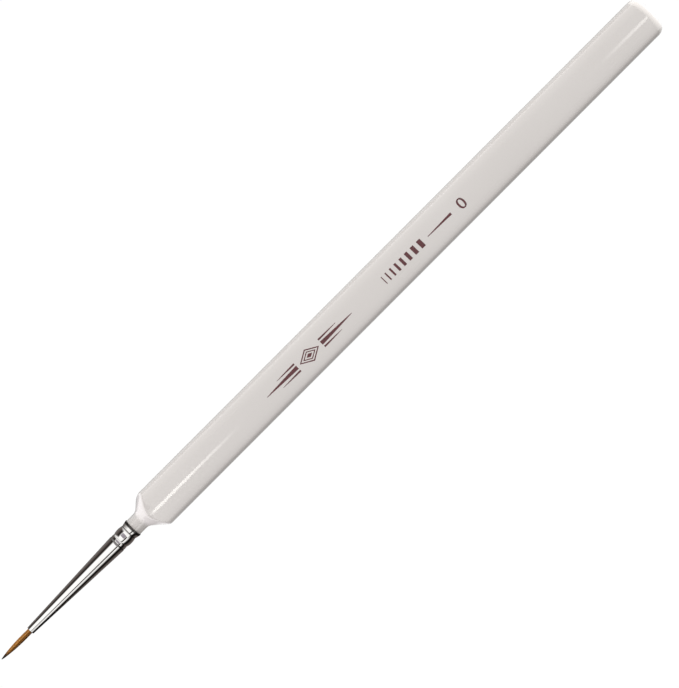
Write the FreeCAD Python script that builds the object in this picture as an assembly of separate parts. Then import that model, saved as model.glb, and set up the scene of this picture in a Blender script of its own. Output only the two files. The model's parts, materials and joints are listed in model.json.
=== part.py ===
import FreeCAD, Part
import math
import os

from FreeCAD import Vector

# Fine detail brush: a three-sided lacquered wooden handle, a tapered metal ferrule
# crimped and glued onto the handle's tenon, and a pointed hair tuft set in resin.
# Millimetres. The brush lies along X with the tuft's point at -X and the tail at +X,
# resting on one handle facet in the plane Z = 0. A station "s" is the distance from
# the point, "r" the distance from the axis; front means towards the point.

TOTAL_LENGTH = 190.0

# ---- handle section: rounded triangle, tangent-continuous ----
FACET_R = 3.44          # axis to the flat of each facet
HALF_WIDTH = 4.70       # half the widest dimension seen square on to a facet
FLANK_R = 9.0           # arc between the flat and the corner
FLANK_ANGLE = 12.0      # degrees turned by that arc
AXIS_Z = FACET_R        # the brush rests on a facet

# ---- handle ends ----
LACQUER = 0.12          # thickness of the coat
NECK_R = 1.965          # round neck behind the ferrule, over the lacquer
CONE_S = 42.0           # a point on the shoulder cone
CONE_R = 2.57
CONE_SLOPE = 0.89       # radius gained per millimetre
NECK_FILLET = 1.70      # concave sweep from neck to cone
TURNED_R = 6.2          # turned blank, larger than the section's corners
TAIL_EDGE = 1.0         # rounding round the square-cut tail
EDGE_SOFT = 0.45        # rounding where the cone meets the facets

# three-sided blanks, overlong so that only their sides cut
CORE_BLANK_S = 20.0
COAT_BLANK_S = 36.0
BLANK_END_S = TOTAL_LENGTH + 5

# which edges are rounded
SHOULDER_ZONE = (42, 46)                            # stations where the edges start
TAIL_ZONE = (TOTAL_LENGTH - 1, TOTAL_LENGTH + 1)
LONGEST_EDGE = 20       # anything longer in X runs along the handle
OUTER_EDGE_R = FACET_R - 0.5                        # edge middles lie beyond this

# ---- ferrule ----
MOUTH_S = 8.5           # the tuft shows from here to the point
MOUTH_R = 0.875
MOUTH_BORE_R = 0.61
MOUTH_LIP = 0.05        # rounding of the mouth's outer edge
CONE_END_S = 33.6       # the straight taper ends here
CONE_END_R = 1.935
WALL = 0.20             # tube wall at the rear
REAR_S = 38.8           # rear rim, against the lacquered neck
REAR_R = 2.120
# rolled crimp, as (s, outer radius): the tube turns in to a first crease, swells into a
# bead, turns in to a second crease and flares out to the collar's rim
CRIMP = [
    [(34.00, 1.934), (34.32, 1.872), (34.58, 1.785), (34.75, 1.722)],
    [(34.90, 1.800), (35.12, 1.885), (35.42, 1.962), (35.78, 2.015), (36.12, 2.030),
     (36.48, 2.012), (36.84, 1.957), (37.14, 1.882), (37.34, 1.822)],
    [(37.52, 1.872), (37.84, 1.958), (38.20, 2.048), (38.50, 2.105), (REAR_S, REAR_R)],
]

# ---- tenon, inside the ferrule ----
TENON_S = 22.6          # front face
TENON_BEVEL = 0.35      # length of the bevel behind that face
TENON_BEVEL_DROP = 0.10  # its depth at the face
GLUE = 0.05             # adhesive film between tenon and tube
CORE_NECK_R = NECK_R - LACQUER
CORE_NECK_S = 38.45     # the core's straight neck starts here
# (s, radius) of the core where it rises from the second crease into its neck
CORE_RISE = [(38.20, CORE_NECK_R - 0.03), (CORE_NECK_S, CORE_NECK_R)]

# ---- hair roots, binding and resin ----
RESIN_FRONT_S = 17.4
RESIN_REAR_S = 22.0
BUNDLE_R = 0.60
ROOT_END_S = 20.4       # butt end of the hair bundle
THREAD_R = 0.06         # binding thread radius
THREAD_PITCH = 0.135
THREAD_TURNS = 7
THREAD_S = 18.9         # front of the binding
THREAD_END_S = THREAD_S + THREAD_PITCH * THREAD_TURNS
THREAD_GAP = 0.008      # between bundle and thread
THREAD_WAIST = 0.018    # height between two turns, over the thread's centre line
COIL_R = BUNDLE_R + THREAD_R + THREAD_GAP
POCKET_END_GAP = 0.03   # resin clear of the binding, at each end and all round
POCKET_SIDE_GAP = 0.02
# rounded butt edge: (distance in front of the butt end, height over the bundle)
BUTT_EDGE = [(0.0, 0.02), (0.06, 0.055), (0.14, 0.06)]
# step down to the binding: (distance behind the binding, height over the bundle)
BUTT_STEP = [(0.20, 0.04), (0.05, 0.0)]

# ---- tuft ----
# ball joints: (station of the ball's centre, distance from there back to the socket's rim)
JOINTS = [(7.9, 0.30), (6.5, 0.30), (5.1, 0.29), (3.7, 0.25)]
PLAY = 0.03             # gap between ball and socket
STATION_GAP = 0.05      # outline points this close to a ball's centre are skipped
# outline from the ferrule's mouth to the point, as (s, radius)
TUFT = [
    (MOUTH_S, BUNDLE_R), (7.9, 0.610), (6.9, 0.624), (6.0, 0.621), (5.1, 0.590),
    (4.25, 0.537), (3.7, 0.492), (2.9, 0.430), (2.1, 0.358), (1.4, 0.272),
    (0.7, 0.160), (0.3, 0.082), (0.0, 0.020),
]

AXIS_POINT = Vector(0, 0, AXIS_Z)
AXIS_DIR = Vector(1, 0, 0)
COS_45 = math.sqrt(0.5)


# ---------------------------------------------------------------- profile helpers
def at(s, r):
    """The point at station s and radius r, in the profile plane above the axis."""
    return Vector(s - TOTAL_LENGTH / 2, 0, AXIS_Z + r)


def line_edge(start, end):
    return Part.LineSegment(start, end).toShape()


def arc_edge(start, middle, end):
    return Part.Arc(start, middle, end).toShape()


def lines(*stations):
    """Straight edges joining (s, r) stations in turn."""
    points = [at(s, r) for s, r in stations]
    return [line_edge(start, end) for start, end in zip(points, points[1:])]


def arc(*stations):
    """Arc through three (s, r) stations."""
    return arc_edge(*[at(s, r) for s, r in stations])


def spline(stations):
    curve = Part.BSplineCurve()
    curve.interpolate([at(s, r) for s, r in stations])
    return curve.toShape()


def one(shape):
    """The only solid in a shape."""
    solids = shape.Solids
    assert len(solids) == 1, len(solids)
    return solids[0]


def turned(edges):
    """Solid of revolution about the brush axis from a closed chain of edges."""
    solid = one(Part.Face(Part.Wire(edges)).revolve(AXIS_POINT, AXIS_DIR, 360))
    if solid.Volume < 0:
        solid.reverse()
    return solid


# ---------------------------------------------------------------- handle
def section(inset):
    """Rounded triangle, inset from the finished surface, as a wire at X = 0."""
    alpha = math.radians(FLANK_ANGLE)
    root3 = math.sqrt(3)
    # distance between the centres of the flank arc and the corner arc
    centre_gap = ((HALF_WIDTH - FLANK_R + root3 * (FLANK_R - FACET_R))
                  / (root3 * math.cos(alpha) - 1))
    corner_r = FLANK_R - centre_gap
    # arc centres, along the facet's normal (n) and along its flat (u)
    corner_u = HALF_WIDTH - corner_r
    flank_u = corner_u - centre_gap * math.sin(alpha)
    flank_n = FACET_R - FLANK_R
    corner_n = flank_n + centre_gap * math.cos(alpha)

    edges = []
    for k in range(3):
        phi = math.radians(-90 + 120 * k)       # k = 0 faces straight down
        normal = Vector(0, math.cos(phi), math.sin(phi))
        along = Vector(0, -math.sin(phi), math.cos(phi))

        def on_arc(centre_n, centre_u, radius, angle, side):
            return (AXIS_POINT + normal * (centre_n + radius * math.cos(angle))
                    + along * (side * (centre_u + radius * math.sin(angle))))

        def flank(angle, side):
            return on_arc(flank_n, flank_u, FLANK_R - inset, angle, side)

        def corner(angle):
            return on_arc(corner_n, corner_u, corner_r - inset, angle, 1)

        edges += [
            arc_edge(flank(alpha, -1), flank(alpha / 2, -1), flank(0, -1)),
            line_edge(flank(0, -1), flank(0, 1)),
            arc_edge(flank(0, 1), flank(alpha / 2, 1), flank(alpha, 1)),
            arc_edge(corner(alpha), corner(math.radians(60)),
                     corner(math.radians(120) - alpha)),
        ]
    return Part.Wire(edges)


def prism(inset, front_s):
    """Three-sided blank from front_s to beyond the tail."""
    face = Part.Face(section(inset))
    face.translate(Vector(front_s - TOTAL_LENGTH / 2, 0, 0))
    return face.extrude(Vector(BLANK_END_S - front_s, 0, 0))


def neck_to_tail(inset, neck_s, front_s):
    """Edges from the neck at neck_s over shoulder and tail, and up the axis to front_s."""
    beta = math.atan(CONE_SLOPE)
    neck_meets_cone = CONE_S - (CONE_R - NECK_R) / CONE_SLOPE
    centre_s = neck_meets_cone - NECK_FILLET * math.tan(beta / 2)
    centre_r = NECK_R + NECK_FILLET
    sweep_r = NECK_FILLET + inset

    def sweep(angle):
        return centre_s + sweep_r * math.sin(angle), centre_r - sweep_r * math.cos(angle)

    blank_r = TURNED_R - inset
    tail_s = TOTAL_LENGTH - inset
    # the cone line, moved inwards along its normal, meets the blank here
    cone_top_s = (blank_r + inset / math.cos(beta) - CONE_R) / CONE_SLOPE + CONE_S
    return (lines((neck_s, NECK_R - inset), sweep(0))
            + [arc(sweep(0), sweep(beta / 2), sweep(beta))]
            + lines(sweep(beta), (cone_top_s, blank_r), (tail_s, blank_r),
                    (tail_s, 0), (front_s, 0)))


def edges_in_zone(solid, zone):
    """Short outer edges that start between the zone's two stations."""
    chosen = []
    for edge in solid.Edges:
        box = edge.BoundBox
        start_s = box.XMin + TOTAL_LENGTH / 2
        middle = edge.valueAt((edge.FirstParameter + edge.LastParameter) / 2)
        off_axis = math.hypot(middle.y, middle.z - AXIS_Z)
        if (box.XMax - box.XMin <= LONGEST_EDGE and off_axis > OUTER_EDGE_R
                and zone[0] < start_s < zone[1]):
            chosen.append(edge)
    return chosen


def soften(solid, inset):
    """Round the edges where the cone runs into the facets, then those round the tail."""
    for zone, radius in ((SHOULDER_ZONE, EDGE_SOFT), (TAIL_ZONE, TAIL_EDGE)):
        chosen = edges_in_zone(solid, zone)
        # guards against a fillet that cannot be built: those edges stay sharp
        try:
            rounded = solid.makeFillet(radius - inset, chosen)
            if rounded.isValid() and len(rounded.Solids) == 1:
                solid = rounded.Solids[0]
        except Exception as problem:
            FreeCAD.Console.PrintWarning(f"Edges left sharp in {zone}: {problem}\n")
    return solid


def make_handle_core():
    """Wooden handle with the tenon that fills the ferrule."""
    inset = WALL + GLUE
    bevel_end_s = TENON_S + TENON_BEVEL
    tenon_end = (CONE_END_S, CONE_END_R - inset)
    crimp = inset_crimp(inset)
    blank = turned(
        lines((TENON_S, 0),
              (TENON_S, bore_radius(TENON_S) - GLUE - TENON_BEVEL_DROP),
              (bevel_end_s, bore_radius(bevel_end_s) - GLUE),
              tenon_end)
        + chained_splines(tenon_end, crimp[:2] + [crimp[2][:2] + CORE_RISE])
        + neck_to_tail(LACQUER, CORE_NECK_S, TENON_S))
    return soften(one(blank.common(prism(LACQUER, CORE_BLANK_S))), LACQUER)


def make_handle_lacquer(handle_core):
    """Coat over the handle from the ferrule's rear rim to the tail."""
    blank = turned(lines((REAR_S, 0), (REAR_S, NECK_R)) + neck_to_tail(0, REAR_S, REAR_S))
    skin = soften(one(blank.common(prism(0, COAT_BLANK_S))), 0)
    return one(skin.cut(handle_core))


# ---------------------------------------------------------------- ferrule
def inset_crimp(inset):
    return [[(s, r - inset) for s, r in run] for run in CRIMP]


def chained_splines(start, runs):
    """One spline per run of stations, each starting where the last one ended."""
    edges = []
    for run in runs:
        edges.append(spline([start] + run))
        start = run[-1]
    return edges


def bore_radius(s):
    slope = (CONE_END_R - WALL - MOUTH_BORE_R) / (CONE_END_S - MOUTH_S)
    return MOUTH_BORE_R + slope * (s - MOUTH_S)


def nose_bore(front_s, rear_s):
    """The space inside the tapered nose between two stations."""
    return turned(lines((front_s, 0), (front_s, bore_radius(front_s)),
                        (rear_s, bore_radius(rear_s)), (rear_s, 0), (front_s, 0)))


def bore_to_rear(front_s):
    """The space inside the tube from front_s to the rear rim."""
    cone_end = (CONE_END_S, CONE_END_R - WALL)
    return turned(
        lines((front_s, 0), (front_s, bore_radius(front_s)), cone_end)
        + chained_splines(cone_end, inset_crimp(WALL))
        + lines((REAR_S, REAR_R - WALL), (REAR_S, 0), (front_s, 0)))


def make_ferrule():
    slope = (CONE_END_R - MOUTH_R) / (CONE_END_S - MOUTH_S)
    lip_start = (MOUTH_S, MOUTH_R - MOUTH_LIP)
    lip_middle = (MOUTH_S + MOUTH_LIP * (1 - COS_45), MOUTH_R - MOUTH_LIP * (1 - COS_45))
    lip_end = (MOUTH_S + MOUTH_LIP, MOUTH_R + slope * MOUTH_LIP)
    cone_end = (CONE_END_S, CONE_END_R)
    outer = turned(
        lines((MOUTH_S, 0), lip_start)
        + [arc(lip_start, lip_middle, lip_end)]
        + lines(lip_end, cone_end)
        + chained_splines(cone_end, CRIMP)
        + lines((REAR_S, REAR_R), (REAR_S, 0), (MOUTH_S, 0)))
    return one(outer.cut(bore_to_rear(MOUTH_S)))


def make_tenon_glue(handle_core):
    """Adhesive film filling the tube round the tenon."""
    return one(bore_to_rear(TENON_S).cut(handle_core))


# ---------------------------------------------------------------- tuft joints
def tuft_radius(s):
    for (rear_s, rear_r), (front_s, front_r) in zip(TUFT, TUFT[1:]):
        if front_s <= s <= rear_s:
            return front_r + (rear_r - front_r) * (s - front_s) / (rear_s - front_s)
    raise ValueError(s)


def rim_station(k):
    centre_s, rim = JOINTS[k]
    return centre_s + rim


def socket_radius(k):
    return tuft_radius(JOINTS[k][0]) + PLAY


def socket_bottom(k):
    """Where the socket of joint k meets the axis."""
    return JOINTS[k][0] + socket_radius(k), 0


def socket(k):
    """Edges of joint k's socket, from the tuft's surface in to the axis."""
    centre_s, rim = JOINTS[k]
    radius = socket_radius(k)
    angle = math.acos(rim / radius)
    rim_s = rim_station(k)
    bowl_start = (rim_s, radius * math.sin(angle))
    bowl_middle = (centre_s + radius * math.cos(angle / 2), radius * math.sin(angle / 2))
    return (lines((rim_s, tuft_radius(rim_s)), bowl_start)
            + [arc(bowl_start, bowl_middle, socket_bottom(k))])


# ---------------------------------------------------------------- hair roots
def make_tuft_root():
    """Hair bundle from its butt end in the resin to the first joint's socket."""
    butt = [(ROOT_END_S - back, BUNDLE_R + height) for back, height in BUTT_EDGE]
    step = [(THREAD_END_S + back, BUNDLE_R + height) for back, height in BUTT_STEP]
    rim_s = rim_station(0)
    return turned(
        lines(socket_bottom(0), (ROOT_END_S, 0), butt[0])
        + [arc(*butt)]
        + lines(butt[-1], *step, (MOUTH_S, BUNDLE_R), (rim_s, tuft_radius(rim_s)))
        + socket(0))


def make_binding_thread():
    """The close turns round the bundle, as one ridged sleeve."""
    waist_r = COIL_R + THREAD_WAIST
    inner_r = BUNDLE_R + THREAD_GAP
    half = THREAD_PITCH / 2
    edges = []
    for i in range(THREAD_TURNS):
        middle_s = THREAD_S + THREAD_PITCH * i + half
        edges.append(arc((middle_s - half, waist_r), (middle_s, COIL_R + THREAD_R),
                         (middle_s + half, waist_r)))
    return turned(edges + lines((THREAD_END_S, waist_r), (THREAD_END_S, inner_r),
                                (THREAD_S, inner_r), (THREAD_S, waist_r)))


def make_root_resin(tuft_root):
    """Plug filling the tube round and behind the roots, with a pocket for the binding."""
    pocket_s = THREAD_S - POCKET_END_GAP
    pocket = Part.makeCylinder(COIL_R + THREAD_R + POCKET_SIDE_GAP,
                               THREAD_END_S + POCKET_END_GAP - pocket_s,
                               at(pocket_s, 0), AXIS_DIR)
    return one(nose_bore(RESIN_FRONT_S, RESIN_REAR_S).cut(tuft_root).cut(pocket))


# ---------------------------------------------------------------- tuft beyond the ferrule
def make_tuft_piece(k):
    """The hair from the ball of joint k to the next socket, or to the point."""
    centre_s = JOINTS[k][0]
    ball_r = tuft_radius(centre_s)
    ball_back = (centre_s + ball_r, 0)
    last = k == len(JOINTS) - 1
    front_s = 0.0 if last else rim_station(k + 1)
    front = (front_s, tuft_radius(front_s))
    between = [(s, r) for s, r in TUFT if front_s < s < centre_s - STATION_GAP]
    edges = [
        arc(ball_back, (centre_s + ball_r * COS_45, ball_r * COS_45), (centre_s, ball_r)),
        spline([(centre_s, ball_r)] + between + [front]),
    ]
    if last:
        edges += lines(front, (0, 0), ball_back)
    else:
        edges += socket(k + 1) + lines(socket_bottom(k + 1), ball_back)
    return turned(edges)


# ---------------------------------------------------------------- one file per piece
handle_core = make_handle_core()
tuft_root = make_tuft_root()
pieces = {
    "handle_core": handle_core,
    "handle_lacquer": make_handle_lacquer(handle_core),
    "ferrule": make_ferrule(),
    "tenon_glue": make_tenon_glue(handle_core),
    "root_resin": make_root_resin(tuft_root),
    "binding_thread": make_binding_thread(),
    "tuft_root": tuft_root,
    "tuft_heel": make_tuft_piece(0),
    "tuft_waist": make_tuft_piece(1),
    "tuft_belly": make_tuft_piece(2),
    "tuft_point": make_tuft_piece(3),
}
os.makedirs("parts", exist_ok=True)
for name, solid in pieces.items():
    assert solid.isValid(), name
    solid.exportStep("parts/" + name + ".step")
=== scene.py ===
"""A fine paint brush lying along X: the tuft's point at low x, the handle's tail at high x.

Its axis runs level at AXIS_Z above the floor, and the marks are printed on the facet that
faces the front (-Y) and up. Stations are millimetres along the brush from the tuft's point,
and radii are millimetres from its axis. Everything else is in metres.
"""
import json
import math

import bpy
import numpy as np
from mathutils import Matrix, Vector


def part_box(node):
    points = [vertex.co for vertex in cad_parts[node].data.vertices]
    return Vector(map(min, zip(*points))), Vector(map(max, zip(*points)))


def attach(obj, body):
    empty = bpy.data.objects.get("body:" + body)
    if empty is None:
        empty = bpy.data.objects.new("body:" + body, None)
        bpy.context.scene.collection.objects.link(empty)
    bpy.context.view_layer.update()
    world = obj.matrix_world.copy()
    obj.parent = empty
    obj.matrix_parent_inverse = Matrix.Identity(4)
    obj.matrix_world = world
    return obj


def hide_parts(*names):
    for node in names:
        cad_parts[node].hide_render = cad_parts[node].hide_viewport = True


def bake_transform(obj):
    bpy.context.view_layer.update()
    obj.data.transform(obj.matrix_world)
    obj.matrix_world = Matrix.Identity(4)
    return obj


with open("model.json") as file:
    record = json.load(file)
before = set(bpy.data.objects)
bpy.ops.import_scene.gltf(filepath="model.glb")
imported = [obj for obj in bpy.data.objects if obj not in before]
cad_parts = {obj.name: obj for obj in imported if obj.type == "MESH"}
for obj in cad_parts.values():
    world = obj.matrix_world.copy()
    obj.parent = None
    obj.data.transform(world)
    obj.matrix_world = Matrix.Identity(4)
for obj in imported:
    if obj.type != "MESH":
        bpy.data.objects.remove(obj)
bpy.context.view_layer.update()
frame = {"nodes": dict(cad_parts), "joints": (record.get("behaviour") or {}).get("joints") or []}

MM = 0.001
rng = np.random.default_rng(438)

# ---------------------------------------------------------------- places from the CAD
TIP_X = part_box("tuft_point")[0].x
MOUTH_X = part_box("ferrule")[0].x
RIM_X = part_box("ferrule")[1].x
TAIL_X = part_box("handle_lacquer")[1].x
AXIS_Z = frame["joints"][0]["pos_m"][2]
HINGE_S = [(joint["pos_m"][0] - TIP_X) / MM for joint in frame["joints"]]
MOUTH_S = (MOUTH_X - TIP_X) / MM
RIM_S = (RIM_X - TIP_X) / MM
TAIL_S = (TAIL_X - TIP_X) / MM

# ---------------------------------------------------------------- handle sizes
FACET_R = 3.44                      # axis to the middle of a facet
HALF_W = 4.70                       # half the width over a facet and its rounded corners
CROWN_R = 60.0                      # shallow arc in the middle of a facet
FLANK_R = 9.0                       # tighter arc on either side of it
FLANK_END = math.radians(12.0)      # where the flank passes into the corner
CORNER_END = math.radians(60.0)     # middle of a corner
FACET_ELEV = math.radians(30.0)     # the printed facet faces this far above the front
COAT = 0.12                         # lacquer thickness
NECK_R, NECK_FILLET = 1.965, 1.70   # straight neck, and its fillet into the cone
CONE_S, CONE_R, CONE_SLOPE = 42.0, 2.57, 0.89   # a point on the cone, and its slope
TURNED_LIMIT = 6.2                  # where the cone stops widening, outside the facets
TAIL_EDGE = 1.0                     # rounding of the tail's edge
TAIL_RUN = TAIL_S - 2.7             # last station before the tail's rounding

# ---------------------------------------------------------------- ferrule sizes
WALL = 0.20
MOUTH_R, BORE_R = 0.875, 0.61
TUBE_CONE_END, TUBE_CONE_R = 33.6, 1.935
COLLAR_R = 2.120
TENON_S, GLUE_FILM = 22.6, 0.05
# (station, radius) runs after the cone; the outline has a crease where one run meets the next
# a narrow roll between two fine creases, a bead, a third crease and a flared collar
CRIMP = [
    [(33.86, 1.940), (34.02, 1.905), (34.12, 1.835)],
    [(34.20, 1.868), (34.36, 1.890), (34.58, 1.888), (34.80, 1.868), (34.98, 1.815)],
    [(35.06, 1.860), (35.24, 1.925), (35.50, 1.980), (35.82, 2.018), (36.16, 2.030),
     (36.52, 2.016), (36.90, 1.968), (37.22, 1.900), (37.45, 1.835)],
    [(37.56, 1.880), (37.86, 1.965), (38.20, 2.050), (38.50, 2.105), (38.80, COLLAR_R)],
]
# the simpler outline that the bore and the wooden tenon follow, each set in by its own depth
BORE_CRIMP = [
    [(34.00, 1.934), (34.32, 1.872), (34.58, 1.785), (34.75, 1.722)],
    [(34.90, 1.800), (35.12, 1.885), (35.42, 1.962), (35.78, 2.015), (36.12, 2.030),
     (36.48, 2.012), (36.84, 1.957), (37.14, 1.882), (37.34, 1.822)],
    [(37.52, 1.872), (37.84, 1.958), (38.20, 2.048), (38.50, 2.105), (38.80, COLLAR_R)],
]


def x_at(station):
    return TIP_X + station * MM


# ---------------------------------------------------------------- mesh helpers
def mesh_object(name, verts, faces, material, sharp):
    """A smooth closed mesh with outward normals; edges over sharp degrees stay sharp."""
    mesh = bpy.data.meshes.new(name)
    mesh.from_pydata(np.asarray(verts, float).tolist(), [], [tuple(face) for face in faces])
    mesh.validate()
    mesh.update()
    # the signed volume is positive when the normals face out
    volume = 0.0
    points = np.array([vert.co for vert in mesh.vertices], float)
    for polygon in mesh.polygons:
        first, *rest = (points[i] for i in polygon.vertices)
        for second, third in zip(rest, rest[1:]):
            volume += first @ np.cross(second, third)
    if volume < 0:
        mesh.flip_normals()
    mesh.polygons.foreach_set("use_smooth", [True] * len(mesh.polygons))
    mesh.set_sharp_from_angle(angle=math.radians(sharp))
    ob = bpy.data.objects.new(name, mesh)
    bpy.context.scene.collection.objects.link(ob)
    mesh.materials.append(material)
    return ob


def stitch(rings, wrap=False, caps=False, poles=None, base=0):
    """Quads between rings of equal count, closed by wrapping, flat caps or two pole points.

    Vertex numbers start at base. Returns (verts, faces).
    """
    count = len(rings[0])
    verts = np.concatenate(rings)
    last = (len(rings) - 1) * count
    faces = []
    for i in range(len(rings) if wrap else len(rings) - 1):
        near, far = base + i * count, base + (i + 1) % len(rings) * count
        for k in range(count):
            after = (k + 1) % count
            faces.append((near + k, near + after, far + after, far + k))
    if caps:
        faces.append(tuple(base + k for k in range(count - 1, -1, -1)))
        faces.append(tuple(base + last + k for k in range(count)))
    if poles:
        start = base + len(verts)
        end = start + 1
        faces += [(start, base + (k + 1) % count, base + k) for k in range(count)]
        faces += [(end, base + last + k, base + last + (k + 1) % count) for k in range(count)]
        verts = np.concatenate([verts, np.asarray(poles, float)])
    return verts, faces


def ring_at(station, radii, angles):
    """A ring of points about the brush axis; station and radii may vary round it."""
    radii = np.asarray(radii) * MM
    return np.column_stack([np.full(len(angles), x_at(station)),
                            radii * np.cos(angles), AXIS_Z + radii * np.sin(angles)])


def full_turn(count):
    return np.linspace(0, 2 * math.pi, count, endpoint=False)


def spline(points, samples):
    """Natural cubic through (station, radius) points, with samples to a span."""
    points = np.asarray(points, float)
    chords = np.linalg.norm(np.diff(points, axis=0), axis=1)
    knots = np.concatenate([[0], np.cumsum(chords)])
    gaps = np.diff(knots)
    count = len(points)
    system = np.zeros((count, count))
    target = np.zeros((count, 2))
    system[0, 0] = system[-1, -1] = 1
    for i in range(1, count - 1):
        system[i, i - 1:i + 2] = gaps[i - 1], 2 * (gaps[i - 1] + gaps[i]), gaps[i]
        target[i] = 6 * ((points[i + 1] - points[i]) / gaps[i]
                         - (points[i] - points[i - 1]) / gaps[i - 1])
    bend = np.linalg.solve(system, target)
    curve = []
    for i, gap in enumerate(gaps):
        for at in np.linspace(knots[i], knots[i + 1], samples, endpoint=False):
            left, done = knots[i + 1] - at, at - knots[i]
            curve.append(bend[i] * left ** 3 / (6 * gap) + bend[i + 1] * done ** 3 / (6 * gap)
                         + (points[i] / gap - bend[i] * gap / 6) * left
                         + (points[i + 1] / gap - bend[i + 1] * gap / 6) * done)
    curve.append(points[-1])
    return curve


def follow(start, runs, samples):
    """Splines through runs of points, creased where one run meets the next."""
    points = []
    for run in runs:
        points += spline([start] + run, samples)[1:]
        start = run[-1]
    return points


# ---------------------------------------------------------------- shader nodes
class Net:
    """Builds the shader nodes of one material or world."""

    def __init__(self, owner):
        owner.use_nodes = True
        self.tree = owner.node_tree
        self.tree.nodes.clear()

    def add(self, kind, inputs=None, **settings):
        """A node with its settings, then its inputs by name or index."""
        node = self.tree.nodes.new("ShaderNode" + kind)
        for key, value in settings.items():
            setattr(node, key, value)
        for key, value in (inputs or {}).items():
            self.put(node.inputs[key], value)
        return node

    def put(self, socket, value):
        if isinstance(value, bpy.types.NodeSocket):
            self.tree.links.new(value, socket)
        elif isinstance(value, tuple) and socket.type == "RGBA":
            socket.default_value = (*value, 1.0)
        else:
            socket.default_value = value

    def coords(self, along=1.0):
        """Object coordinates, with x scaled by along; below 1 draws a pattern out along x."""
        source = self.add("TexCoord").outputs["Object"]
        return self.add("Mapping", {"Vector": source, "Scale": (along, 1, 1)}).outputs["Vector"]

    def position(self, space="Object"):
        """The x, y and z sockets."""
        return self.add("SeparateXYZ", {0: self.add("TexCoord").outputs[space]}).outputs

    def math(self, operation, *values):
        return self.add("Math", dict(enumerate(values)), operation=operation).outputs["Value"]

    def station(self, x):
        return self.math("MULTIPLY", self.math("SUBTRACT", x, TIP_X), 1000.0)

    def noise(self, vector, scale, detail, rough):
        return self.add("TexNoise", {"Vector": vector, "Scale": scale, "Detail": detail,
                                     "Roughness": rough}).outputs["Fac"]

    def remap(self, value, span, to=(0.0, 1.0), smooth=False):
        return self.add("MapRange", {
            "Value": value, "From Min": span[0], "From Max": span[1], "To Min": to[0],
            "To Max": to[1]}, interpolation_type="SMOOTHSTEP" if smooth else "LINEAR",
        ).outputs["Result"]

    def band(self, station, centre, half):
        """1 at the centre station, falling to 0 at half away."""
        away = self.math("ABSOLUTE", self.math("SUBTRACT", station, centre))
        return self.remap(away, span=(0.0, half), to=(1.0, 0.0), smooth=True)

    def mix(self, share, first, second):
        return self.add("Mix", {0: share, 6: first, 7: second}, data_type="RGBA").outputs[2]

    def ramp(self, value, stops):
        """Stops are (place, colour or grey level)."""
        node = self.add("ValToRGB", {"Fac": value})
        elements = node.color_ramp.elements
        while len(elements) > 1:
            elements.remove(elements[-1])
        for i, (place, colour) in enumerate(stops):
            if i == 0:
                element = elements[0]
                element.position = place
            else:
                element = elements.new(place)
            element.color = (*(colour if isinstance(colour, tuple) else (colour,) * 3), 1)
        return node.outputs["Color"]

    def profile(self, value, stops):
        """A ramp whose stops are placed in the units of value."""
        low, high = stops[0][0], stops[-1][0]
        return self.ramp(self.remap(value, span=(low, high)),
                         [((place - low) / (high - low), colour) for place, colour in stops])

    def bump(self, height, strength, distance, normal=None):
        inputs = {"Strength": strength, "Distance": distance, "Height": height}
        if normal is not None:
            inputs["Normal"] = normal
        return self.add("Bump", inputs).outputs["Normal"]

    def emission(self, colour, strength=1.0):
        return self.add("Emission", {"Color": colour, "Strength": strength}).outputs[0]

    def background(self, colour, strength=1.0):
        return self.add("Background", {"Color": colour, "Strength": strength}).outputs[0]

    def mix_shader(self, share, first, second):
        return self.add("MixShader", {0: share, 1: first, 2: second}).outputs[0]

    def output(self, shader, kind="OutputMaterial"):
        self.add(kind, {"Surface": shader})

    def principled(self, inputs):
        self.output(self.add("BsdfPrincipled", inputs).outputs["BSDF"])


def new_material(name):
    material = bpy.data.materials.new(name)
    return material, Net(material)


# ---------------------------------------------------------------- materials
def lacquer_material():
    material, net = new_material("lacquer_offwhite")
    even = net.coords()
    station = net.station(net.position()[0])
    cloud = net.noise(even, scale=45, detail=3, rough=0.5)
    fine = net.noise(even, scale=420, detail=5, rough=0.6)
    colour = net.ramp(cloud, [(0.25, (0.759, 0.722, 0.693)), (0.55, (0.774, 0.737, 0.708)),
                              (0.80, (0.785, 0.751, 0.723))])
    # pin-size specks
    pins = net.noise(even, scale=1500, detail=2, rough=0.5)
    speck = net.remap(pins, span=(0.735, 0.79), to=(0.0, 0.30))
    colour = net.mix(speck, colour, (0.60, 0.56, 0.50))
    # faint handling marks, stretched along the brush
    smear = net.noise(net.coords(along=0.22), scale=160, detail=4, rough=0.6)
    marks = net.remap(smear, span=(0.56, 0.80), to=(0.0, 0.07))
    colour = net.mix(marks, colour, (0.66, 0.62, 0.57))
    # painted shade where the coat meets the ferrule's rim
    rim_shade = net.remap(station, span=(RIM_S, RIM_S + 0.30), to=(0.45, 0.0), smooth=True)
    colour = net.mix(rim_shade, colour, (0.42, 0.38, 0.33))
    rough = net.remap(smear, span=(0.3, 0.75), to=(0.20, 0.30))
    coat_rough = net.remap(fine, span=(0.3, 0.7), to=(0.022, 0.040))
    peel = net.noise(net.coords(along=0.55), scale=950, detail=2, rough=0.45)
    strokes = net.noise(net.coords(along=0.12), scale=700, detail=3, rough=0.5)
    normal = net.bump(peel, strength=0.012, distance=0.000008)
    coat_normal = net.bump(strokes, strength=0.008, distance=0.000006, normal=normal)
    net.principled({
        "Base Color": colour, "Roughness": rough, "IOR": 1.50, "Specular IOR Level": 0.45,
        "Coat Weight": 1.0, "Coat IOR": 1.7, "Coat Roughness": coat_rough,
        "Normal": normal, "Coat Normal": coat_normal})
    return material


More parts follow.
